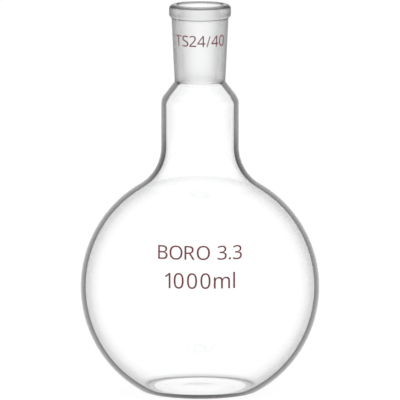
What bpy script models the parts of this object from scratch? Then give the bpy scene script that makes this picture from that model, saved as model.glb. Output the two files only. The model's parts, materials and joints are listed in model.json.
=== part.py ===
"""Flat-bottomed boiling flask, 1000 mL, with a 24/40 ground joint on a wide neck.

The flask is two pieces of borosilicate glass that a glassblower fuses together: the blown blank, which is
bulb, pressed base, neck and shoulder in one wall, and the tooled outer joint with its bead. Three fired
enamel marks stand on them, and each printed character is its own island of enamel.

Frame: metres, +Z up the flask's axis, origin at the centre of the base, and the marks face -Y.
"""

import math

import bmesh
import bpy

# Bulb and base
BODY_DIAMETER = 0.131
WALL = 0.0028
BASE_FLAT_DIAMETER = 0.0575
BASE_CORNER_RADIUS = 0.008
BASE_HOLLOW_DIAMETER = 0.040
BASE_HOLLOW_DEPTH = 0.0006
BASE_THICKNESS = 0.0024
FLOOR_DIAMETER = 0.0506

# Neck and shoulder
NECK_DIAMETER = 0.0426
NECK_ROOT_RADIUS = 0.0245
NECK_LENGTH = 0.0264
SHOULDER_HEIGHT = 0.0096
SHOULDER_ROUNDING = 0.008

# Ground joint, standard taper 24/40, and the bead round its mouth
GROUND_WIDE_BORE = 0.024
GROUND_LENGTH = 0.040
GROUND_TAPER = 1 / 10
JOINT_WALL = 0.0039
LIP_HEIGHT = 0.0024
LIP_INNER_ROUNDING = 0.0016
BEAD_PROUD = 0.0010
BEAD_HEIGHT = 0.0068
BEAD_TOP_ROUNDING = 0.0024
BEAD_FOOT_ROUNDING = 0.0022

# Fired enamel marks
MARK_THICKNESS = 0.0002
WORD_GAP = 0.0030
CAPACITY_TEXT = "1000ml"
CAPACITY_LETTERS = ("thousands_digit", "hundreds_digit", "tens_digit", "units_digit", "letter_m", "letter_l")
CAPACITY_LETTER_HEIGHT = 0.0083
CAPACITY_LETTER_GAP = 0.0018
CAPACITY_LATITUDE = math.radians(10.8)
GRADE_TEXT = "BORO 3.3"
GRADE_LETTERS = (
    "letter_b",
    "first_letter_o",
    "letter_r",
    "second_letter_o",
    "whole_digit",
    "point",
    "tenths_digit",
)
GRADE_LETTER_HEIGHT = 0.0078
GRADE_LETTER_GAP = 0.0011
GRADE_LATITUDE = math.radians(24.4)
JOINT_SIZE_TEXT = "TS24/40"
JOINT_SIZE_LETTERS = (
    "letter_t",
    "letter_s",
    "bore_tens_digit",
    "bore_units_digit",
    "slash",
    "length_tens_digit",
    "length_units_digit",
)
JOINT_SIZE_LETTER_HEIGHT = 0.0060
JOINT_SIZE_LETTER_GAP = 0.0006
JOINT_SIZE_DROP = 0.0187

# Meshes of 32-bit numbers can't touch, so neighbours keep this clearance.
CLEARANCE = 0.0003

# Facets
SEGMENTS = 48
ARC_STEP = math.radians(9)
CORNER_STEPS = 3
HOLLOW_STEPS = 6
LETTER_STEPS = 3
SHARP_ANGLE = math.radians(35)

# Height of a capital in the plain sans-serif typeface, as a share of the letter size
CAPITAL_SHARE = 0.714

# Sizes that follow
BODY_RADIUS = BODY_DIAMETER / 2
NECK_RADIUS = NECK_DIAMETER / 2
BASE_FLAT_RADIUS = BASE_FLAT_DIAMETER / 2
BODY_CENTRE_Z = BASE_CORNER_RADIUS + math.sqrt((BODY_RADIUS - BASE_CORNER_RADIUS) ** 2 - BASE_FLAT_RADIUS**2)
ROOT_CENTRE_R = NECK_RADIUS + NECK_ROOT_RADIUS
ROOT_CENTRE_Z = BODY_CENTRE_Z + math.sqrt((BODY_RADIUS + NECK_ROOT_RADIUS) ** 2 - ROOT_CENTRE_R**2)
SHOULDER_Z = ROOT_CENTRE_Z + NECK_LENGTH
SEAL_Z = SHOULDER_Z + SHOULDER_HEIGHT
GROUND_TOP_Z = SEAL_Z + GROUND_LENGTH
RIM_Z = GROUND_TOP_Z + LIP_HEIGHT


def arc(centre_r, centre_z, radius, start, stop):
    """Points along a round stretch of an outline, both ends included."""
    steps = max(2, math.ceil(abs(stop - start) / ARC_STEP))
    angles = [start + (stop - start) * i / steps for i in range(steps + 1)]
    return [(centre_r + radius * math.cos(a), centre_z + radius * math.sin(a)) for a in angles]


def rounded(before, corner, after, radius):
    """Points round a corner between two straight runs, whose radius is limited by the room on the runs."""
    ways = []
    for end in (before, after):
        run = math.dist(corner, end)
        ways.append(((end[0] - corner[0]) / run, (end[1] - corner[1]) / run, run))
    (ax, az, a_run), (bx, bz, b_run) = ways
    half = math.acos(ax * bx + az * bz) / 2
    back = min(radius / math.tan(half), 0.9 * a_run, 0.9 * b_run)
    radius = back * math.tan(half)
    centre_share = radius / math.sin(half) / math.hypot(ax + bx, az + bz)
    centre_r, centre_z = corner[0] + (ax + bx) * centre_share, corner[1] + (az + bz) * centre_share
    start = math.atan2(corner[1] + az * back - centre_z, corner[0] + ax * back - centre_r)
    stop = math.atan2(corner[1] + bz * back - centre_z, corner[0] + bx * back - centre_r)
    turn = (stop - start + math.pi) % math.tau - math.pi
    angles = [start + turn * i / CORNER_STEPS for i in range(CORNER_STEPS + 1)]
    return [(centre_r + radius * math.cos(a), centre_z + radius * math.sin(a)) for a in angles]


def bore_radius(z):
    """Radius of the joint's ground bore, which narrows downwards at the standard taper."""
    return (GROUND_WIDE_BORE - GROUND_TAPER * (GROUND_TOP_Z - z)) / 2


def joint_radius(z):
    """Outside radius of the joint's tube, parallel to its bore."""
    return bore_radius(z) + JOINT_WALL


def base_points():
    """The pushed-up middle of the base, from the axis outwards: half a cosine wave, level at both ends."""
    shares = [i / HOLLOW_STEPS for i in range(HOLLOW_STEPS + 1)]
    radius, rise = BASE_HOLLOW_DIAMETER / 2, BASE_HOLLOW_DEPTH / 2
    return [(radius * share, rise * (1 + math.cos(math.pi * share))) for share in shares]


def body_points(wall, flat_radius, floor_z):
    """Corner of the base, sphere and root of the neck, as far inside the outer face as the wall it is given.

    The corner's radius is the one that runs from the flat floor into the sphere without a crease.
    """
    sphere_radius = BODY_RADIUS - wall
    drop = BODY_CENTRE_Z - floor_z
    corner_radius = (sphere_radius**2 - drop**2 - flat_radius**2) / (2 * (sphere_radius - drop))
    corner_z = floor_z + corner_radius
    corner_end = math.atan2(corner_z - BODY_CENTRE_Z, flat_radius)
    root_start = math.atan2(ROOT_CENTRE_Z - BODY_CENTRE_Z, ROOT_CENTRE_R)
    corner = arc(flat_radius, corner_z, corner_radius, -math.pi / 2, corner_end)
    sphere = arc(0, BODY_CENTRE_Z, sphere_radius, corner_end, root_start)
    root = arc(ROOT_CENTRE_R, ROOT_CENTRE_Z, NECK_ROOT_RADIUS + wall, root_start + math.pi, math.pi)
    return corner + sphere[1:-1] + root


def blank_outline():
    """Half section of the blown blank, from the axis up the outside, over the seal and down the inside."""
    seal_z = SEAL_Z - CLEARANCE / 2
    outer_neck = (NECK_RADIUS, SHOULDER_Z)
    outer_seal = (joint_radius(SEAL_Z), seal_z)
    outside = base_points() + body_points(0, BASE_FLAT_RADIUS, 0)
    outside += rounded(outside[-1], outer_neck, outer_seal, SHOULDER_ROUNDING) + [outer_seal]
    inner_neck = (NECK_RADIUS - WALL, SHOULDER_Z - WALL / 2)
    inner_seal = (bore_radius(SEAL_Z), seal_z)
    inside = [(0, BASE_THICKNESS)] + body_points(WALL, FLOOR_DIAMETER / 2, BASE_THICKNESS)
    inside += rounded(inside[-1], inner_neck, inner_seal, SHOULDER_ROUNDING - WALL) + [inner_seal]
    return outside + inside[::-1]


def joint_outline():
    """Closed section of the outer joint: its tube, the bead and lip round its mouth, and its ground bore."""
    foot_z = SEAL_Z + CLEARANCE / 2
    bead_radius = joint_radius(RIM_Z) + BEAD_PROUD
    bead_foot_z = RIM_Z - BEAD_HEIGHT
    tube_foot = (joint_radius(foot_z), foot_z)
    tube_top = (joint_radius(bead_foot_z), bead_foot_z)
    bead_foot = (bead_radius, bead_foot_z + BEAD_PROUD)
    bead_top = (bead_radius, RIM_Z)
    lip = (bore_radius(RIM_Z), RIM_Z)
    bore_foot = (bore_radius(foot_z), foot_z)
    points = [tube_foot, tube_top]
    points += rounded(tube_top, bead_foot, bead_top, BEAD_FOOT_ROUNDING)
    points += rounded(bead_foot, bead_top, lip, BEAD_TOP_ROUNDING)
    points += rounded(bead_top, lip, bore_foot, LIP_INNER_ROUNDING)
    return points + [bore_foot]


def turned(name, outline, closed, material):
    """Spin a half section once round the flask's axis into a closed solid."""
    work = bmesh.new()
    verts = [work.verts.new((r, 0, z)) for r, z in outline]
    edges = [work.edges.new(pair) for pair in zip(verts, verts[1:])]
    if closed:
        edges.append(work.edges.new((verts[-1], verts[0])))
    bmesh.ops.spin(
        work,
        geom=verts + edges,
        cent=(0, 0, 0),
        axis=(0, 0, 1),
        angle=math.tau,
        steps=SEGMENTS,
        use_merge=True,
    )
    bmesh.ops.remove_doubles(work, verts=work.verts, dist=1e-6)
    bmesh.ops.recalc_face_normals(work, faces=work.faces)
    mesh = bpy.data.meshes.new(name)
    work.to_mesh(mesh)
    work.free()
    mesh.shade_smooth()
    mesh.set_sharp_from_angle(angle=SHARP_ANGLE)
    mesh.materials.append(material)
    made = bpy.data.objects.new(name, mesh)
    bpy.context.scene.collection.objects.link(made)


def glass(name, roughness):
    """Clear borosilicate glass, polished or ground."""
    material = bpy.data.materials.new(name)
    material.use_nodes = True
    shader = material.node_tree.nodes["Principled BSDF"]
    shader.inputs["Base Color"].default_value = (0.96, 0.98, 0.98, 1)
    shader.inputs["Roughness"].default_value = roughness
    shader.inputs["IOR"].default_value = 1.474
    shader.inputs["Transmission Weight"].default_value = 1
    return material


def enamel():
    """Deep red glass enamel, fired on."""
    material = bpy.data.materials.new("red_enamel")
    material.use_nodes = True
    shader = material.node_tree.nodes["Principled BSDF"]
    shader.inputs["Base Color"].default_value = (0.14, 0.03, 0.04, 1)
    shader.inputs["Roughness"].default_value = 0.4
    return material


def sans_serif(character):
    """The plain sans-serif form of a letter or digit. Any other sign is itself."""
    if character.isdigit():
        return chr(ord("\N{MATHEMATICAL SANS-SERIF DIGIT ZERO}") + int(character))
    if character.isupper():
        return chr(ord("\N{MATHEMATICAL SANS-SERIF CAPITAL A}") + ord(character) - ord("A"))
    if character.islower():
        return chr(ord("\N{MATHEMATICAL SANS-SERIF SMALL A}") + ord(character) - ord("a"))
    return character


def letter(name, character, height, material):
    """One printed character as a thin flat solid, upright in XY, with its middle line at the origin."""
    text = bpy.data.curves.new(name, "FONT")
    text.body = sans_serif(character)
    text.size = height / CAPITAL_SHARE
    text.extrude = MARK_THICKNESS / 2
    text.resolution_u = LETTER_STEPS
    text.materials.append(material)
    made = bpy.data.objects.new(name, text)
    bpy.context.scene.collection.objects.link(made)
    bpy.context.view_layer.update()
    ends = [corner[0] for corner in made.bound_box]
    text.offset_x = -(max(ends) + min(ends)) / 2
    text.offset_y = -height / 2
    return made, max(ends) - min(ends)


def lettering(prefix, text, letter_names, height, gap, material):
    """The letters of one mark, each with the way along the line from the mark's middle to its own."""
    names = iter(letter_names)
    letters, reached = [], -gap
    for character in text:
        if character == " ":
            reached += WORD_GAP
            continue
        made, width = letter(f"{prefix}_{next(names)}", character, height, material)
        letters.append((made, reached + gap + width / 2))
        reached += gap + width
    return [(made, along - reached / 2) for made, along in letters]


def stand_letter(made, turn, latitude, surface_r, surface_z):
    """Stand a letter off a turned surface: turned about Z, and tilted to face along the surface's normal."""
    stand_off = CLEARANCE + MARK_THICKNESS / 2
    out = surface_r + stand_off * math.cos(latitude)
    made.location = (out * math.sin(turn), -out * math.cos(turn), surface_z + stand_off * math.sin(latitude))
    made.rotation_euler = (math.pi / 2 - latitude, 0, turn)


def lay_on_bulb(letters, latitude):
    """Lay a mark's letters along a parallel of the bulb."""
    surface_r = BODY_RADIUS * math.cos(latitude)
    surface_z = BODY_CENTRE_Z + BODY_RADIUS * math.sin(latitude)
    for made, along in letters:
        stand_letter(made, along / surface_r, latitude, surface_r, surface_z)


def lay_on_joint(letters, drop):
    """Lay a mark's letters round the joint's tube, with their middle line below the rim by the drop."""
    surface_z = RIM_Z - drop
    surface_r = joint_radius(surface_z)
    for made, along in letters:
        stand_letter(made, along / surface_r, -math.atan(GROUND_TAPER / 2), surface_r, surface_z)


def build():
    for old in list(bpy.data.objects):
        bpy.data.objects.remove(old)
    turned("flask_blank", blank_outline(), False, glass("blown_glass", 0.02))
    turned("ground_joint", joint_outline(), True, glass("ground_glass", 0.35))
    red = enamel()
    words = (CAPACITY_TEXT, CAPACITY_LETTERS, CAPACITY_LETTER_HEIGHT, CAPACITY_LETTER_GAP)
    lay_on_bulb(lettering("capacity", *words, red), CAPACITY_LATITUDE)
    words = (GRADE_TEXT, GRADE_LETTERS, GRADE_LETTER_HEIGHT, GRADE_LETTER_GAP)
    lay_on_bulb(lettering("glass_grade", *words, red), GRADE_LATITUDE)
    words = (JOINT_SIZE_TEXT, JOINT_SIZE_LETTERS, JOINT_SIZE_LETTER_HEIGHT, JOINT_SIZE_LETTER_GAP)
    lay_on_joint(lettering("joint_size", *words, red), JOINT_SIZE_DROP)


build()
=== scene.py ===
"""Looks for a 1000 mL flat-bottomed boiling flask: blown glass, a ground joint and three enamel marks.

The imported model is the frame. The flask stands at its origin, +Z up its axis, and its marks face -Y. The
turned pieces are grids of radius and height over the way along an outline and the turn about Z.
"""

import json
import math

import bmesh
import bpy
import numpy as np
from bpy.props import FloatProperty, FloatVectorProperty, PointerProperty, StringProperty
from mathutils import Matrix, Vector

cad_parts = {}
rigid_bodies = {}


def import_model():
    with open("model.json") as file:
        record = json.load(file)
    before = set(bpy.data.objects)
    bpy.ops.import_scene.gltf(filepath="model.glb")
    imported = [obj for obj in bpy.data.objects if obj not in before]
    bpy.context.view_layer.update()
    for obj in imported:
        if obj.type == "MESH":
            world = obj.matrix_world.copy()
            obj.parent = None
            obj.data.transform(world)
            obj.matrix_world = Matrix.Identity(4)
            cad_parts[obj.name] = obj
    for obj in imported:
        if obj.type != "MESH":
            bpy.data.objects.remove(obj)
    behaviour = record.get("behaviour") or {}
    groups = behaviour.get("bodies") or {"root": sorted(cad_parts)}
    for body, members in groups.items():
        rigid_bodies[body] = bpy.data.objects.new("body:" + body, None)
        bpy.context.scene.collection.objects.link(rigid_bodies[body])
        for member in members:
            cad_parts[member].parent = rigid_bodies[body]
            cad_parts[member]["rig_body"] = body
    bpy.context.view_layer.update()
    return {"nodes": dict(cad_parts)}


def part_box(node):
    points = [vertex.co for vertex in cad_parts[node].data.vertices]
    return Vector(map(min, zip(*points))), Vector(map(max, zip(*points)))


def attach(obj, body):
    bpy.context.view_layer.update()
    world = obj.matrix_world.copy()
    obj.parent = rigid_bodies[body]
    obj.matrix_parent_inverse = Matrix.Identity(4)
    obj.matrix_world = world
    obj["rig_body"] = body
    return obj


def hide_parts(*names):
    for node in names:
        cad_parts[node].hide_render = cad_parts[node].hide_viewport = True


bl_info = {
    "name": "Boiling flask looks",
    "version": (1, 0, 0),
    "blender": (4, 5, 0),
    "location": "3D View > Sidebar > Flask",
    "description": "Blows, grinds and prints a flat-bottomed boiling flask round its frame",
    "category": "Object",
}

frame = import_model()
BLANK_LOW, BLANK_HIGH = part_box("flask_blank")
JOINT_LOW, JOINT_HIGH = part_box("ground_joint")
BODY = frame["nodes"]["flask_blank"]["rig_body"]

CAPACITY_LETTERS = ("thousands_digit", "hundreds_digit", "tens_digit", "units_digit", "letter_m", "letter_l")
GRADE_LETTERS = (
    "letter_b",
    "first_letter_o",
    "letter_r",
    "second_letter_o",
    "whole_digit",
    "point",
    "tenths_digit",
)
JOINT_SIZE_LETTERS = (
    "letter_t",
    "letter_s",
    "bore_tens_digit",
    "bore_units_digit",
    "slash",
    "length_tens_digit",
    "length_units_digit",
)


# Sizes and colours


class FlaskSizes(bpy.types.PropertyGroup):
    """Sizes of the blown blank."""

    body_diameter: FloatProperty(
        name="Body diameter",
        description="Outside diameter of the bulb",
        default=BLANK_HIGH.x - BLANK_LOW.x,
        unit="LENGTH",
    )
    wall: FloatProperty(name="Wall", description="Thickness of the blown wall", default=0.0028, unit="LENGTH")
    base_flat: FloatProperty(
        name="Base flat", description="Diameter of the flat base", default=0.0575, unit="LENGTH"
    )
    base_corner: FloatProperty(
        name="Base corner",
        description="Radius between the base and the bulb",
        default=0.008,
        unit="LENGTH",
    )
    hollow_diameter: FloatProperty(
        name="Hollow diameter",
        description="Diameter of the pushed-up middle of the base",
        default=0.040,
        unit="LENGTH",
    )
    hollow_depth: FloatProperty(
        name="Hollow depth", description="Rise of the base's middle", default=0.0001, unit="LENGTH"
    )
    base_thickness: FloatProperty(
        name="Base thickness",
        description="Thickness of the base at the edge of its hollow",
        default=0.0024,
        unit="LENGTH",
    )
    floor_diameter: FloatProperty(
        name="Floor diameter",
        description="Diameter of the flat floor inside",
        default=0.0506,
        unit="LENGTH",
    )
    neck_diameter: FloatProperty(
        name="Neck diameter", description="Outside diameter of the neck", default=0.0426, unit="LENGTH"
    )
    neck_root: FloatProperty(
        name="Neck root",
        description="Radius of the sweep between the bulb and the neck",
        default=0.0245,
        unit="LENGTH",
    )
    shoulder_height: FloatProperty(
        name="Shoulder height",
        description="Height over which the neck closes in to the joint",
        default=0.0096,
        unit="LENGTH",
    )
    shoulder_rounding: FloatProperty(
        name="Shoulder rounding", description="Radius at the shoulder's edge", default=0.008, unit="LENGTH"
    )


class JointSizes(bpy.types.PropertyGroup):
    """Sizes of the ground joint."""

    wide_bore: FloatProperty(
        name="Wide bore", description="Bore at the ground taper's wide end", default=0.024, unit="LENGTH"
    )
    ground_length: FloatProperty(
        name="Ground length", description="Length of the ground taper", default=0.040, unit="LENGTH"
    )
    taper: FloatProperty(name="Taper", description="Bore lost for each unit of length", default=0.1)
    wall: FloatProperty(
        name="Wall", description="Thickness of the joint's tube", default=0.0039, unit="LENGTH"
    )
    lip_bevel: FloatProperty(
        name="Lip bevel",
        description="Width and height of the bevel inside the lip",
        default=0.0009,
        unit="LENGTH",
    )
    bead_proud: FloatProperty(
        name="Bead proud", description="How far the bead stands off the tube", default=0.0010, unit="LENGTH"
    )
    bead_height: FloatProperty(
        name="Bead height", description="Height of the bead", default=0.0073, unit="LENGTH"
    )
    bead_top_rounding: FloatProperty(
        name="Bead top rounding",
        description="Radius of the bead's upper edge",
        default=0.0024,
        unit="LENGTH",
    )
    bead_foot_rounding: FloatProperty(
        name="Bead foot rounding",
        description="Radius of the bead's lower edge",
        default=0.0022,
        unit="LENGTH",
    )


class MarkSettings(bpy.types.PropertyGroup):
    """Words and sizes of the enamel marks."""

    capacity: StringProperty(name="Capacity", description="Capacity mark", default="1000ml")
    capacity_height: FloatProperty(
        name="Capacity height", description="Height of its capitals", default=0.0083, unit="LENGTH"
    )
    capacity_gap: FloatProperty(
        name="Capacity gap", description="Gap between its letters", default=0.0018, unit="LENGTH"
    )
    capacity_latitude: FloatProperty(
        name="Capacity latitude",
        description="Angle of its line above the bulb's middle",
        default=math.radians(10.8),
        subtype="ANGLE",
    )
    grade: StringProperty(name="Glass grade", description="Glass grade mark", default="BORO 3.3")
    grade_height: FloatProperty(
        name="Glass grade height", description="Height of its capitals", default=0.0078, unit="LENGTH"
    )
    grade_gap: FloatProperty(
        name="Glass grade gap", description="Gap between its letters", default=0.0011, unit="LENGTH"
    )
    grade_latitude: FloatProperty(
        name="Glass grade latitude",
        description="Angle of its line above the bulb's middle",
        default=math.radians(24.4),
        subtype="ANGLE",
    )
    joint_size: StringProperty(name="Joint size", description="Joint size mark", default="TS24/40")
    joint_size_height: FloatProperty(
        name="Joint size height", description="Height of its capitals", default=0.0060, unit="LENGTH"
    )
    joint_size_gap: FloatProperty(
        name="Joint size gap", description="Gap between its letters", default=0.0006, unit="LENGTH"
    )
    joint_size_drop: FloatProperty(
        name="Joint size drop",
        description="Depth of its middle line below the rim",
        default=0.0187,
        unit="LENGTH",
    )
    word_gap: FloatProperty(name="Word gap", description="Gap between words", default=0.0030, unit="LENGTH")
    thickness: FloatProperty(
        name="Thickness", description="Thickness of the fired enamel", default=0.00006, unit="LENGTH"
    )


class Finishes(bpy.types.PropertyGroup):
    """Colours of the glass and the enamel."""

    glass: FloatVectorProperty(
        name="Glass",
        description="Tint that the glass gives what is seen through it",
        default=(0.995, 0.998, 0.997),
        subtype="COLOR",
        min=0,
        max=1,
    )
    enamel: FloatVectorProperty(
        name="Enamel",
        description="Colour of the fired enamel",
        default=(0.115, 0.012, 0.018),
        subtype="COLOR",
        min=0,
        max=1,
    )


class StageSettings(bpy.types.PropertyGroup):
    """The floor, the light and the camera."""

    elevation: FloatProperty(
        name="Elevation",
        description="Height of the camera above the horizon",
        default=math.radians(7.8),
        subtype="ANGLE",
    )
    lens: FloatProperty(name="Lens", description="Focal length in millimetres", default=1000.0)
    view_height: FloatProperty(
        name="View height", description="Height that the view takes in", default=0.2192, unit="LENGTH"
    )
    aim_height: FloatProperty(
        name="Aim height", description="Height of the view's middle", default=0.1057, unit="LENGTH"
    )
    aim_side: FloatProperty(
        name="Aim side", description="Sideways place of the view's middle", default=0.0, unit="LENGTH"
    )
    brightness: FloatProperty(name="Brightness", description="Brightness of the white studio", default=1.02)
    floor_glow: FloatProperty(
        name="Floor glow", description="Light that the translucent floor gives from below", default=0.95
    )


# Outlines

OUTLINE_STEP = 0.0015
LONGEST_ROUNDING_SHARE = 0.9
SEAL_GAP = 0.00002
BEAD_CREASE_ROUNDING = 0.0008
LIP_BOW = 0.00005
RIM_EDGE_DROPS = (0.0015, 0.0005)
GROUND_RUN_OUT = 0.0015
SCUFF_INNER_RADIUS = 0.0246
SCUFF_HEIGHT = 0.0004
CORNER_FADE_Z = (0.0026, 0.0044)


def arc(centre_r, centre_z, radius, start, stop, step):
    """Points along a round stretch of an outline, both ends included, no further apart than the step."""
    count = max(2, math.ceil(abs(stop - start) * radius / step))
    angles = np.linspace(start, stop, count + 1)
    return np.column_stack((centre_r + radius * np.cos(angles), centre_z + radius * np.sin(angles)))


def rounded(before, corner, after, radius, step):
    """Points round a corner: the arc that touches both straight runs.

    It touches each run at the radius over the tangent of the corner's half angle, and within the shorter run.
    """
    before, corner, after = (np.array(point, float) for point in (before, corner, after))
    runs = [np.linalg.norm(end - corner) for end in (before, after)]
    ways = [(end - corner) / run for end, run in zip((before, after), runs)]
    half = math.acos(float(ways[0] @ ways[1])) / 2
    back = min(radius / math.tan(half), LONGEST_ROUNDING_SHARE * min(runs))
    radius = back * math.tan(half)
    middle = ways[0] + ways[1]
    centre = corner + middle * radius / math.sin(half) / np.linalg.norm(middle)
    ends = [corner + way * back - centre for way in ways]
    start, stop = (math.atan2(end[1], end[0]) for end in ends)
    turn = (stop - start + math.pi) % math.tau - math.pi
    return arc(centre[0], centre[1], radius, start, start + turn, step)


def bowed(start, stop, bow, step):
    """Points from start to stop on a parabola, which stands off the straight run by the bow at its middle."""
    start, stop = np.array(start), np.array(stop)
    run = stop - start
    length = np.linalg.norm(run)
    share = np.linspace(0, 1, math.ceil(length / step) + 1)[:, None]
    across = np.array((run[1], -run[0])) / length
    return start + run * share + across * bow * 4 * share * (1 - share)


def filled(points, step):
    """The outline with points added along its long straight runs, no further apart than the step."""
    pieces = []
    for a, b in zip(points, points[1:]):
        count = max(1, math.ceil(np.linalg.norm(b - a) / step))
        pieces.append(a + (b - a) * np.linspace(0, 1, count, endpoint=False)[:, None])
    return np.vstack(pieces + [points[-1:]])


class Outline:
    """Radii and heights that the flask's two pieces share."""

    def __init__(self, scene):
        self.flask, self.joint = scene.flask_sizes, scene.joint_sizes
        flask, joint = self.flask, self.joint
        self.body_radius = flask.body_diameter / 2
        self.neck_radius = flask.neck_diameter / 2
        self.flat_radius = flask.base_flat / 2
        corner = flask.base_corner
        self.centre_z = corner + math.sqrt((self.body_radius - corner) ** 2 - self.flat_radius**2)
        self.root_r = self.neck_radius + flask.neck_root
        self.root_z = self.centre_z + math.sqrt((self.body_radius + flask.neck_root) ** 2 - self.root_r**2)
        self.seal_z = (BLANK_HIGH.z + JOINT_LOW.z) / 2
        self.blank_top_z = self.seal_z - SEAL_GAP / 2
        self.shoulder_z = self.seal_z - flask.shoulder_height
        self.rim_z = JOINT_HIGH.z
        self.ground_top_z = self.seal_z + joint.ground_length

    def bore_radius(self, z):
        """Radius of the ground bore, which narrows downwards at the joint's taper."""
        return (self.joint.wide_bore - self.joint.taper * (self.ground_top_z - z)) / 2

    def joint_radius(self, z):
        """Outside radius of the joint's tube."""
        return self.bore_radius(z) + self.joint.wall

    def base(self, step):
        """Pushed-up middle of the base, from the axis outwards: half a cosine wave, level at both ends."""
        radius = self.flask.hollow_diameter / 2
        share = np.linspace(0, 1, math.ceil(radius / step) + 1)
        rise = self.flask.hollow_depth / 2
        return np.column_stack((radius * share, rise * (1 + np.cos(math.pi * share))))

    def body(self, wall, flat_radius, floor_z, step):
        """Corner of the base, sphere and neck root, as far inside the outer face as the wall.

        The corner's radius is the one that runs from the flat floor into the sphere without a crease.
        """
        sphere_radius = self.body_radius - wall
        drop = self.centre_z - floor_z
        corner_radius = (sphere_radius**2 - drop**2 - flat_radius**2) / (2 * (sphere_radius - drop))
        corner_z = floor_z + corner_radius
        corner_end = math.atan2(corner_z - self.centre_z, flat_radius)
        root_start = math.atan2(self.root_z - self.centre_z, self.root_r)
        corner = arc(flat_radius, corner_z, corner_radius, -math.pi / 2, corner_end, step / 2)
        sphere = arc(0, self.centre_z, sphere_radius, corner_end, root_start, step)
        turned_root = root_start + math.pi
        root = arc(self.root_r, self.root_z, self.flask.neck_root + wall, turned_root, math.pi, step)
        return np.vstack((corner, sphere[1:-1], root))

    def blank_outside(self, step):
        """Corner, sphere, neck root and shoulder of the outer face, from the hollow's edge to the seal."""
        body = self.body(0, self.flat_radius, 0, step)
        edge, seal = (self.neck_radius, self.shoulder_z), (self.joint_radius(self.seal_z), self.blank_top_z)
        shoulder = rounded(body[-1], edge, seal, self.flask.shoulder_rounding, step / 2)
        hollow_edge = (self.flask.hollow_diameter / 2, 0)
        return filled(np.vstack(([hollow_edge], body, shoulder, [seal])), step)

    def blank_inside(self, step):
        """The same stretches of the inner face, from the floor's edge to the seal."""
        flask = self.flask
        body = self.body(flask.wall, flask.floor_diameter / 2, flask.base_thickness, step)
        edge = (self.neck_radius - flask.wall, self.shoulder_z - flask.wall / 2)
        seal = (self.bore_radius(self.seal_z), self.blank_top_z)
        shoulder = rounded(body[-1], edge, seal, flask.shoulder_rounding - flask.wall, step / 2)
        return filled(np.vstack((body, shoulder, [seal])), step)

    def blank_stretches(self, step):
        """The blank's base, foot ring, outside, seal face, grinding run-out, inside, corner and floor."""
        outside, inside = self.blank_outside(step), self.blank_inside(step)
        scuffed = np.argmax(outside[:, 0] > SCUFF_INNER_RADIUS)
        clear = np.argmax(outside[:, 1] > SCUFF_HEIGHT)
        base = np.vstack((self.base(step), outside[1 : scuffed + 1]))
        ring, outside = outside[scuffed : clear + 1], outside[clear:]
        bent = np.argmax(inside[:, 1] > CORNER_FADE_Z[1])
        ground = np.argmax(inside[:, 1] > self.blank_top_z - GROUND_RUN_OUT)
        run_out, wall, corner = inside[ground:], inside[bent : ground + 1], inside[: bent + 1]
        seal = filled(np.array((outside[-1], inside[-1])), step)
        floor = filled(np.array((inside[0], (0, self.flask.base_thickness))), step)
        return base, ring, outside, seal, run_out[::-1], wall[::-1], corner[::-1], floor

    def joint_stretches(self, step):
        """The joint's tube, crease, bead, rim edge, land, bevel, ground bore and seal face."""
        joint, foot_z = self.joint, self.seal_z + SEAL_GAP / 2
        bead_radius = self.joint_radius(self.rim_z) + joint.bead_proud
        bead_foot_z = self.rim_z - joint.bead_height
        tube_foot = (self.joint_radius(foot_z), foot_z)
        tube_top = (self.joint_radius(bead_foot_z), bead_foot_z)
        bead_foot = (bead_radius, bead_foot_z + joint.bead_proud)
        bead_top = (bead_radius, self.rim_z)
        bevel_top = (self.bore_radius(self.rim_z) + joint.lip_bevel, self.rim_z)
        bevel_foot_z = self.rim_z - joint.lip_bevel
        bevel_foot = (self.bore_radius(bevel_foot_z), bevel_foot_z)
        bore_foot = (self.bore_radius(foot_z), foot_z)
        fine = step / 4
        crease = rounded(tube_foot, tube_top, bead_foot, BEAD_CREASE_ROUNDING, fine)
        foot = rounded(tube_top, bead_foot, bead_top, joint.bead_foot_rounding, fine)
        top = rounded(bead_foot, bead_top, bevel_top, joint.bead_top_rounding, fine)
        tube = np.vstack(([tube_foot], crease[:1]))
        low, high = (np.argmax(top[:, 1] > self.rim_z - drop) for drop in RIM_EDGE_DROPS)
        bead = np.vstack((crease[-1:], foot, top[: low + 1]))
        edge, land = top[low : high + 1], np.vstack((top[high:], [bevel_top]))
        bevel = bowed(bevel_top, bevel_foot, LIP_BOW, fine)
        ground = np.array((bevel_foot, bore_foot))
        seal = np.array((bore_foot, tube_foot))
        tube, bead, ground, seal = (filled(points, step) for points in (tube, bead, ground, seal))
        return tube, crease, bead, edge, land, bevel, ground, seal


# Meshes

TURN_STEPS = 256
SHARP_ANGLE = math.radians(40)
MERGE_DISTANCE = 1e-7


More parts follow.
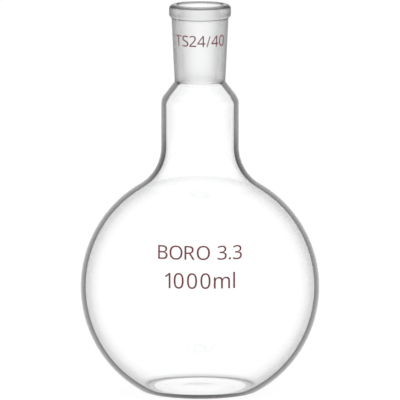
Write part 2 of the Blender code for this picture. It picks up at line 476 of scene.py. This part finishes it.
def turned_piece(name, stretches, materials):
    """A solid of revolution: x = r sin(turn), y = -r cos(turn), and z from the outline, step by step.

    The outline comes as stretches that meet end to end, each with its own material. It starts and ends on
    the axis, or runs right round to where it started.
    """
    rings = np.vstack(stretches)
    slots = np.concatenate([np.full(len(points), slot) for slot, points in enumerate(stretches)])[1:]
    turns = np.arange(TURN_STEPS) * math.tau / TURN_STEPS
    radius, height = rings[:, :1], np.repeat(rings[:, 1:], TURN_STEPS, axis=1)
    grid = np.stack((radius * np.sin(turns), -radius * np.cos(turns), height), axis=-1)
    index = np.arange(len(rings) * TURN_STEPS).reshape(len(rings), TURN_STEPS)
    lower, upper = index[:-1], index[1:]
    quads = np.stack((lower, np.roll(lower, -1, axis=1), np.roll(upper, -1, axis=1), upper), axis=-1)
    mesh = bpy.data.meshes.new(name)
    mesh.from_pydata(grid.reshape(-1, 3), [], quads.reshape(-1, 4).tolist())
    mesh.polygons.foreach_set("material_index", np.repeat(slots, TURN_STEPS).astype(np.int32))
    return finished(name, mesh, materials)


def finished(name, mesh, materials):
    """Close a mesh's seams and poles, turn its faces outwards, smooth it and hand it to the frame's body."""
    work = bmesh.new()
    work.from_mesh(mesh)
    bmesh.ops.remove_doubles(work, verts=work.verts, dist=MERGE_DISTANCE)
    bmesh.ops.recalc_face_normals(work, faces=work.faces)
    work.to_mesh(mesh)
    work.free()
    mesh.shade_smooth()
    mesh.set_sharp_from_angle(angle=SHARP_ANGLE)
    for material in materials:
        mesh.materials.append(material)
    piece = bpy.data.objects.new(name, mesh)
    bpy.context.scene.collection.objects.link(piece)
    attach(piece, BODY)
    return piece


# Materials

GLASS_IOR = 1.474
STRIA_SIZE = (70, 70, 22)
STRIA_DEPTH = 0.00001

# Each pair is a share mirrored at the face and the share of painted shade there, a dull black mixed in.
NO_PAINTED_SHADE = ((0.0, 0.0), (1.0, 0.0))
SILHOUETTE_PAINTED_SHADE = ((0.9, 0.0), (1.0, 1.0))
GRAZING_PAINTED_SHADE = ((0.08, 0.0), (0.24, 0.155), (0.45, 0.22), (0.93, 0.3), (1.0, 1.0))
NECK_PAINTED_SHADE = ((0.043, 0.0), (0.052, 0.03), (0.085, 0.07), (0.2, 0.09), (0.45, 0.2), (0.93, 0.25), (1.0, 0.82))
LIP_PAINTED_SHADE = ((0.0, 0.68), (0.15, 0.5), (0.5, 0.25), (1.0, 0.4))
CREASE_PAINTED_SHADE = ((0.0, 0.55), (0.3, 0.65), (1.0, 1.0))
CORNER_PAINTED_SHADE = ((0.0, 0.25), (0.5, 0.35), (1.0, 0.95))
NECK_GLASS_Z = (0.125, 0.15)

GRINDING_RING_SCALE = (300, 300, 9000)
GRINDING_GRAIN_SCALE = (9000, 9000, 9000)
GRINDING_DEPTH = 0.000004
GROUND_ROUGHNESS = 0.42
GROUND_ROUGHNESS_SPREAD = 0.06
GROUND_FACING_PAINTED_SHADE = 0.3
TRAPPED_FACING = 0.27
TRAPPED_PAINTED_SHADE = 1.6
TRAPPED_MIRROR = (0.9, 1.0)

FINE_SCRATCH_SCALE = (6000, 900, 900)
COARSE_SCRATCH_SCALE = (500, 2500, 500)
SCRATCH_DEPTH = 0.00001
SCUFF_LEVELS = (0.4, 0.62)
SCUFF_PAINTED_SHADE = 0.3
SCUFF_ROUGHNESS = 0.25

INK_GRAIN_SCALE = (2600, 2600, 2600)
INK_PATCH_SCALE = (500, 500, 500)
INK_LEVELS = (0.35, 0.7)
INK_PALER = 1.7
INK_HAZE = 0.008
INK_ROUGHNESS = 0.38
INK_ROUGHNESS_SPREAD = 0.2
INK_DEPTH = 0.00002
INK_IOR = 1.5


class Shade:
    """One socket of a node tree, on which sums and products add the nodes that work them out."""

    def __init__(self, tree, socket):
        self.tree, self.socket = tree, socket

    def node(self, kind, settings=None, output=0, **values):
        """Add a node, with its settings first and then its sockets' values or links, and give one output."""
        made = self.tree.nodes.new(kind)
        for key, value in (settings or {}).items():
            if key == "stops":
                self.set_stops(made.color_ramp.elements, value)
            else:
                setattr(made, key, value)
        for key, value in values.items():
            self.put(made.inputs[int(key[2:]) if key.startswith("in") else key.replace("_", " ")], value)
        return Shade(self.tree, made.outputs[output] if made.outputs else None)

    def set_stops(self, elements, stops):
        """Give a ramp its stops, each a position and a grey level."""
        while len(elements) < len(stops):
            elements.new(1.0)
        for element, (place, level) in zip(elements, stops):
            element.position = place
            element.color = (level, level, level, 1)

    def put(self, socket, value):
        """Give a socket a value, or link it to another socket."""
        if isinstance(value, Shade):
            self.tree.links.new(value.socket, socket)
        else:
            socket.default_value = value

    def math(self, operation, first, second):
        """A Math node on two values."""
        return self.node("ShaderNodeMath", {"operation": operation}, in0=first, in1=second)

    def __add__(self, other):
        return self.math("ADD", self, other)

    __radd__ = __add__

    def __mul__(self, other):
        return self.math("MULTIPLY", self, other)

    __rmul__ = __mul__

    def __sub__(self, other):
        return self.math("SUBTRACT", self, other)

    def __rsub__(self, other):
        return self.math("SUBTRACT", other, self)

    def ramp(self, stops):
        """A grey that runs straight between stops, by this value."""
        return self.node("ShaderNodeValToRGB", {"stops": stops}, Fac=self)

    def clamped(self):
        """The value, kept from 0 to 1."""
        return self.node("ShaderNodeClamp", Value=self)

    def height(self):
        """Height of the shaded point in its piece."""
        return self.node("ShaderNodeSeparateXYZ", output=2, Vector=self.node("ShaderNodeTexCoord", output=3))

    def between(self, low, high):
        """0 below low, 1 above high, and smooth between."""
        settings = {"interpolation_type": "SMOOTHSTEP"}
        return self.node("ShaderNodeMapRange", settings, Value=self, From_Min=low, From_Max=high)


def new_material(name):
    """An empty material, and a shade that adds nodes to it."""
    material = bpy.data.materials.new(name)
    material.use_nodes = True
    tree = material.node_tree
    tree.nodes.clear()
    return material, Shade(tree, None)


def output_of(shade, surface):
    """Link a shader to the material's output."""
    shade.node("ShaderNodeOutputMaterial", Surface=surface)


def stretched_place(shade, scale):
    """The piece's own place in space, stretched along its axes."""
    place = shade.node("ShaderNodeTexCoord", output=3)
    return shade.node("ShaderNodeMapping", Vector=place, Scale=scale)


def with_painted_shade(shade, glass, share):
    """The glass with painted shade: a share of it is a dull black, which darkens it where the share is high.
    """
    dark = shade.node("ShaderNodeBsdfPrincipled", Base_Color=(0, 0, 0, 1), Roughness=1.0, IOR=1.0)
    return shade.node("ShaderNodeMixShader", in0=share, in1=glass, in2=dark)


def glass_of(shade, colour, roughness, bump=None):
    """The glass itself, smooth unless it is given a bump."""
    extra = {} if bump is None else {"Normal": bump}
    return shade.node(
        "ShaderNodeBsdfPrincipled",
        Base_Color=(*colour, 1),
        Roughness=roughness,
        IOR=GLASS_IOR,
        Transmission_Weight=1.0,
        **extra,
    )


def clear_glass(name, colour, painted_shade, neck_painted_shade=None):
    """Polished glass with faint blowing waves and painted edge shade; the neck can have its own shade."""
    material, shade = new_material(name)
    waves = shade.node("ShaderNodeTexNoise", Vector=stretched_place(shade, STRIA_SIZE), Scale=1.0, Detail=1.0)
    bump = shade.node("ShaderNodeBump", Height=waves, Distance=STRIA_DEPTH, Strength=1.0)
    mirrored = shade.node("ShaderNodeFresnel", IOR=GLASS_IOR)
    share = mirrored.ramp(painted_shade)
    if neck_painted_shade:
        # Above this height the neck takes its own painted shade.
        necked = shade.height().between(*NECK_GLASS_Z)
        share = share * (1 - necked) + mirrored.ramp(neck_painted_shade) * necked
    output_of(shade, with_painted_shade(shade, glass_of(shade, colour, 0.0, bump), share))
    return material


def corner_glass(name, colour):
    """The thick corner between the floor and the bulb, with more painted shade than the inner face."""
    material, shade = new_material(name)
    mirrored = shade.node("ShaderNodeFresnel", IOR=GLASS_IOR)
    clear = shade.height().between(*CORNER_FADE_Z)
    painted_shade = mirrored.ramp(CORNER_PAINTED_SHADE) * (1 - clear) + mirrored.ramp(GRAZING_PAINTED_SHADE) * clear
    output_of(shade, with_painted_shade(shade, glass_of(shade, colour, 0.0), painted_shade))
    return material


def ground_glass(name, colour):
    """The ground taper: a fine matt cut, with rings that the grinding tool leaves round the bore."""
    material, shade = new_material(name)
    rings = shade.node("ShaderNodeTexNoise", Vector=stretched_place(shade, GRINDING_RING_SCALE), Detail=3.0)
    grain = shade.node("ShaderNodeTexNoise", Vector=stretched_place(shade, GRINDING_GRAIN_SCALE), Detail=2.0)
    bump = shade.node("ShaderNodeBump", Height=rings + grain * 0.6, Distance=GRINDING_DEPTH, Strength=0.6)
    glass = glass_of(shade, colour, GROUND_ROUGHNESS + rings * GROUND_ROUGHNESS_SPREAD, bump)
    # Painted shade: darker where the face is aslant, and darker still where it mirrors nearly all.
    aslant = shade.node("ShaderNodeLayerWeight", output=1, Blend=0.5)
    trapped = shade.node("ShaderNodeFresnel", IOR=GLASS_IOR).between(*TRAPPED_MIRROR)
    painted_shade = aslant * GROUND_FACING_PAINTED_SHADE + trapped * (aslant - TRAPPED_FACING) * TRAPPED_PAINTED_SHADE
    output_of(shade, with_painted_shade(shade, glass, painted_shade.clamped()))
    return material


def scuffed_glass(name, colour):
    """The ring that the flask stands on: worn matt by benches, with scratches across it."""
    material, shade = new_material(name)
    fine = shade.node("ShaderNodeTexNoise", Vector=stretched_place(shade, FINE_SCRATCH_SCALE), Detail=3.0)
    coarse = shade.node("ShaderNodeTexNoise", Vector=stretched_place(shade, COARSE_SCRATCH_SCALE), Detail=3.0)
    worn = (fine * 0.5 + coarse * 0.5).between(*SCUFF_LEVELS)
    bump = shade.node("ShaderNodeBump", Height=worn, Distance=SCRATCH_DEPTH, Strength=0.6)
    glass = glass_of(shade, colour, SCUFF_ROUGHNESS, bump)
    # Painted shade over the ring, more where it is worn; the wear itself is in the bump and roughness.
    output_of(shade, with_painted_shade(shade, glass, SCUFF_PAINTED_SHADE * (0.7 + worn * 0.6)))
    return material


def fused_seal(name):
    """Where the two glasses have run together: there is no face to see."""
    material, shade = new_material(name)
    output_of(shade, shade.node("ShaderNodeBsdfPrincipled", Base_Color=(1, 1, 1, 1), Alpha=0.0))
    return material


def enamel(name, colour):
    """Fired ceramic ink: satin, with a fine grain in its colour and height."""
    material, shade = new_material(name)
    grain = shade.node("ShaderNodeTexNoise", Vector=stretched_place(shade, INK_GRAIN_SCALE), Detail=3.0)
    patches = shade.node("ShaderNodeTexNoise", Vector=stretched_place(shade, INK_PATCH_SCALE), Detail=2.0)
    worn = (grain * 0.5 + patches * 0.5).between(*INK_LEVELS)
    paler = tuple(min(1.0, channel * INK_PALER + INK_HAZE) for channel in colour)
    colours = {"in6": (*colour, 1), "in7": (*paler, 1)}
    tone = shade.node("ShaderNodeMix", {"data_type": "RGBA"}, output=2, in0=worn, **colours)
    ink = shade.node(
        "ShaderNodeBsdfPrincipled",
        Base_Color=tone,
        Roughness=INK_ROUGHNESS + grain * INK_ROUGHNESS_SPREAD,
        IOR=INK_IOR,
        Normal=shade.node("ShaderNodeBump", Height=grain, Distance=INK_DEPTH, Strength=0.5),
    )
    output_of(shade, ink)
    return material


# Enamel letters

CAPITAL_SHARE = 0.714
LETTER_LIFT = 0.00001
LETTER_STEP = 0.0006
LETTER_CURVE_STEPS = 8


def sans_serif(character):
    """The plain sans-serif form of a letter or digit. Any other sign is itself."""
    if character.isdigit():
        return chr(ord("\N{MATHEMATICAL SANS-SERIF DIGIT ZERO}") + int(character))
    if character.isupper():
        return chr(ord("\N{MATHEMATICAL SANS-SERIF CAPITAL A}") + ord(character) - ord("A"))
    if character.islower():
        return chr(ord("\N{MATHEMATICAL SANS-SERIF SMALL A}") + ord(character) - ord("a"))
    return character


def flat_letter(character, height):
    """A letter's face as points and triangles in its plane, centred across and on its capitals' middle."""
    text = bpy.data.curves.new("letter", "FONT")
    text.body = sans_serif(character)
    text.size = height / CAPITAL_SHARE
    text.resolution_u = LETTER_CURVE_STEPS
    made = bpy.data.objects.new("letter", text)
    bpy.context.scene.collection.objects.link(made)
    graph = bpy.context.evaluated_depsgraph_get()
    work = bmesh.new()
    work.from_mesh(made.evaluated_get(graph).to_mesh())
    bpy.data.objects.remove(made)
    bpy.data.curves.remove(text)
    bmesh.ops.remove_doubles(work, verts=work.verts, dist=MERGE_DISTANCE)
    for axis in (0, 1):
        places = [vert.co[axis] for vert in work.verts]
        for cut in np.arange(min(places) + LETTER_STEP, max(places), LETTER_STEP):
            place, way = Vector(), Vector()
            place[axis], way[axis] = cut, 1
            parts = work.verts[:] + work.edges[:] + work.faces[:]
            bmesh.ops.bisect_plane(work, geom=parts, plane_co=place, plane_no=way, dist=MERGE_DISTANCE)
    bmesh.ops.triangulate(work, faces=work.faces)
    work.verts.index_update()
    points = np.array([vert.co[:2] for vert in work.verts])
    triangles = np.array([[vert.index for vert in face.verts] for face in work.faces])
    work.free()
    points[:, 0] -= (points[:, 0].max() + points[:, 0].min()) / 2
    points[:, 1] -= height / 2
    return points, triangles


def letter_solid(name, points, triangles, surface, thickness, material):
    """A letter bent over a surface: its face at the enamel's thickness, its back on the glass, and walls."""
    front, back = surface(points, LETTER_LIFT + thickness), surface(points, LETTER_LIFT)
    count = len(points)
    edges = np.vstack((triangles[:, [0, 1]], triangles[:, [1, 2]], triangles[:, [2, 0]]))
    keys = np.sort(edges, axis=1) @ (count, 1)
    _, first, seen = np.unique(keys, return_index=True, return_counts=True)
    rim = edges[first[seen == 1]]
    walls = np.column_stack((rim[:, 1], rim[:, 0], rim[:, 0] + count, rim[:, 1] + count))
    faces = triangles.tolist() + (triangles[:, ::-1] + count).tolist() + walls.tolist()
    mesh = bpy.data.meshes.new(name)
    mesh.from_pydata(np.vstack((front, back)), [], faces)
    piece = finished(name, mesh, [material])
    return piece


def print_mark(prefix, text, letter_names, height, gap, surface, material):
    """Print one mark: each letter its own piece of enamel, side by side and centred on the front."""
    settings = bpy.context.scene.mark_settings
    names, letters, reached = iter(letter_names), [], -gap
    for character in text:
        if character == " ":
            reached += settings.word_gap
            continue
        points, triangles = flat_letter(character, height)
        width = np.ptp(points[:, 0])
        letters.append((next(names), points, triangles, reached + gap + width / 2))
        reached += gap + width
    for name, points, triangles, along in letters:
        node = f"{prefix}_{name}"
        moved = points + (along - reached / 2, 0)
        piece = letter_solid(f"{node}_enamel", moved, triangles, surface, settings.thickness, material)
        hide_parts(node)


def on_bulb(outline, latitude):
    """Places on the bulb: up is a turn of latitude, and across a turn about Z that keeps letters upright."""
    radius = outline.body_radius

    def surface(points, lift):
        up = latitude + points[:, 1] / radius
        turn = points[:, 0] / (radius * np.cos(up))
        out = (radius + lift) * np.cos(up)
        return np.column_stack(
            (out * np.sin(turn), -out * np.cos(turn), outline.centre_z + (radius + lift) * np.sin(up))
        )

    return surface


def on_joint(outline, drop):
    """Places on the joint's tube: the way across is a turn about Z, and the way up follows the taper."""
    slope = math.atan(outline.joint.taper / 2)
    middle_z = outline.rim_z - drop
    middle_radius = outline.joint_radius(middle_z)

    def surface(points, lift):
        turn = points[:, 0] / middle_radius
        z = middle_z + points[:, 1] * math.cos(slope)
        out = outline.joint_radius(z) + lift / math.cos(slope)
        return np.column_stack((out * np.sin(turn), -out * np.cos(turn), z))

    return surface


# Operators

FLOOR_RADIUS = 12.0
FLOOR_SIDES = 64
FLOOR_GREY = (0.08, 0.08, 0.08, 1)
FLOOR_GRAIN_SCALE = (400, 400, 400)
WHITE = (1, 1, 1, 1)
FARTHEST_VIEW = 100.0


class FLASK_OT_blow_blank(bpy.types.Operator):
    """Blow the bulb, base, neck and shoulder as one wall of glass"""

    bl_idname = "flask.blow_blank"
    bl_label = "Blow the blank"

    def execute(self, context):
        finishes = context.scene.flask_finishes
        colour = tuple(finishes.glass)
        pressed = clear_glass("pressed_base_glass", colour, NO_PAINTED_SHADE)
        materials = [
            pressed,
            scuffed_glass("foot_ring_glass", colour),
            clear_glass("outer_face_glass", colour, SILHOUETTE_PAINTED_SHADE),
            fused_seal("blank_seal"),
            ground_glass("ground_run_out", colour),
            clear_glass("inner_face_glass", colour, GRAZING_PAINTED_SHADE, NECK_PAINTED_SHADE),
            corner_glass("inner_corner_glass", colour),
            pressed,
        ]
        piece = turned_piece("blown_body", Outline(context.scene).blank_stretches(OUTLINE_STEP), materials)
        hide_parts("flask_blank")
        return {"FINISHED"}


class FLASK_OT_seal_joint(bpy.types.Operator):
    """Tool the ground joint with its bead and seal it to the shoulder"""

    bl_idname = "flask.seal_joint"
    bl_label = "Seal the joint"

    def execute(self, context):
        colour = tuple(context.scene.flask_finishes.glass)
        outer = clear_glass("joint_outer_glass", colour, GRAZING_PAINTED_SHADE)
        # The lip and the crease under the bead carry painted dark lines of shade.
        lip = clear_glass("lip_glass", colour, LIP_PAINTED_SHADE)
        materials = [
            outer,
            clear_glass("crease_glass", colour, CREASE_PAINTED_SHADE),
            outer,
            lip,
            outer,
            lip,
            ground_glass("ground_taper", colour),
            fused_seal("joint_seal"),
        ]
        piece = turned_piece("tooled_joint", Outline(context.scene).joint_stretches(OUTLINE_STEP), materials)
        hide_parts("ground_joint")
        return {"FINISHED"}


class FLASK_OT_print_marks(bpy.types.Operator):
    """Print and fire the capacity, glass grade and joint size marks"""

    bl_idname = "flask.print_marks"
    bl_label = "Print the marks"

    def execute(self, context):
        scene = context.scene
        marks, outline = scene.mark_settings, Outline(scene)
        red = enamel("fired_red_enamel", tuple(scene.flask_finishes.enamel))
        words = (marks.capacity, CAPACITY_LETTERS, marks.capacity_height, marks.capacity_gap)
        print_mark("capacity", *words, on_bulb(outline, marks.capacity_latitude), red)
        words = (marks.grade, GRADE_LETTERS, marks.grade_height, marks.grade_gap)
        print_mark("glass_grade", *words, on_bulb(outline, marks.grade_latitude), red)
        words = (marks.joint_size, JOINT_SIZE_LETTERS, marks.joint_size_height, marks.joint_size_gap)
        print_mark("joint_size", *words, on_joint(outline, marks.joint_size_drop), red)
        return {"FINISHED"}


class FLASK_OT_set_stage(bpy.types.Operator):
    """Set the pale floor, the white studio and the camera"""

    bl_idname = "flask.set_stage"
    bl_label = "Set the stage"

    def execute(self, context):
        scene, stage = context.scene, context.scene.stage_settings
        self.lay_floor(stage)
        self.light_studio(scene, stage)
        self.place_camera(scene, stage)
        scene.view_settings.view_transform = "Standard"
        return {"FINISHED"}

    def lay_floor(self, stage):
        """A round sheet of pale translucent acrylic, lit from below."""
        turns = np.arange(FLOOR_SIDES) * math.tau / FLOOR_SIDES
        rim = np.column_stack((FLOOR_RADIUS * np.cos(turns), FLOOR_RADIUS * np.sin(turns), 0 * turns))
        mesh = bpy.data.meshes.new("floor")
        mesh.from_pydata(rim, [], [list(range(FLOOR_SIDES))])
        material, shade = new_material("pale_floor")
        grain = shade.node("ShaderNodeTexNoise", Vector=stretched_place(shade, FLOOR_GRAIN_SCALE), Detail=2.0)
        surface = shade.node(
            "ShaderNodeBsdfPrincipled",
            Base_Color=FLOOR_GREY,
            Roughness=0.5 + grain * 0.1,
            Specular_IOR_Level=0.0,
            Emission_Color=WHITE,
            Emission_Strength=stage.floor_glow,
        )
        output_of(shade, surface)
        mesh.materials.append(material)
        floor = bpy.data.objects.new("floor", mesh)
        bpy.context.scene.collection.objects.link(floor)

    def light_studio(self, scene, stage):
        """Soft white light from all round."""
        world = bpy.data.worlds.new("white_studio")
        world.use_nodes = True
        background = world.node_tree.nodes["Background"]
        background.inputs["Color"].default_value = WHITE
        background.inputs["Strength"].default_value = stage.brightness
        scene.world = world

    def place_camera(self, scene, stage):
        """A long lens, as far off as makes the view as high as the stage asks."""
        data = bpy.data.cameras.new("camera")
        data.lens = stage.lens
        distance = stage.view_height * stage.lens / data.sensor_width
        aim = Vector((stage.aim_side, 0, stage.aim_height))
        back = Vector((0, -math.cos(stage.elevation), math.sin(stage.elevation)))
        camera = bpy.data.objects.new("camera", data)
        camera.location = aim + back * distance
        camera.rotation_euler = back.to_track_quat("Z", "Y").to_euler()
        data.clip_end = FARTHEST_VIEW
        scene.collection.objects.link(camera)
        scene.camera = camera


class FLASK_PT_looks(bpy.types.Panel):
    """The steps that make the flask, in order"""

    bl_label = "Boiling flask"
    bl_idname = "FLASK_PT_looks"
    bl_space_type = "VIEW_3D"
    bl_region_type = "UI"
    bl_category = "Flask"

    def draw(self, context):
        for step in STEPS:
            self.layout.operator(step.bl_idname)


GROUPS = {
    "flask_sizes": FlaskSizes,
    "joint_sizes": JointSizes,
    "mark_settings": MarkSettings,
    "flask_finishes": Finishes,
    "stage_settings": StageSettings,
}
STEPS = (FLASK_OT_blow_blank, FLASK_OT_seal_joint, FLASK_OT_print_marks, FLASK_OT_set_stage)


def register():
    for group in GROUPS.values():
        bpy.utils.register_class(group)
    for step in (*STEPS, FLASK_PT_looks):
        bpy.utils.register_class(step)
    for name, group in GROUPS.items():
        setattr(bpy.types.Scene, name, PointerProperty(type=group))


def unregister():
    for name in GROUPS:
        delattr(bpy.types.Scene, name)
    for step in (FLASK_PT_looks, *reversed(STEPS)):
        bpy.utils.unregister_class(step)
    for group in reversed(GROUPS.values()):
        bpy.utils.unregister_class(group)


def main():
    register()
    bpy.ops.flask.blow_blank()
    bpy.ops.flask.seal_joint()
    bpy.ops.flask.print_marks()
    bpy.ops.flask.set_stage()


if __name__ == "__main__":
    main()
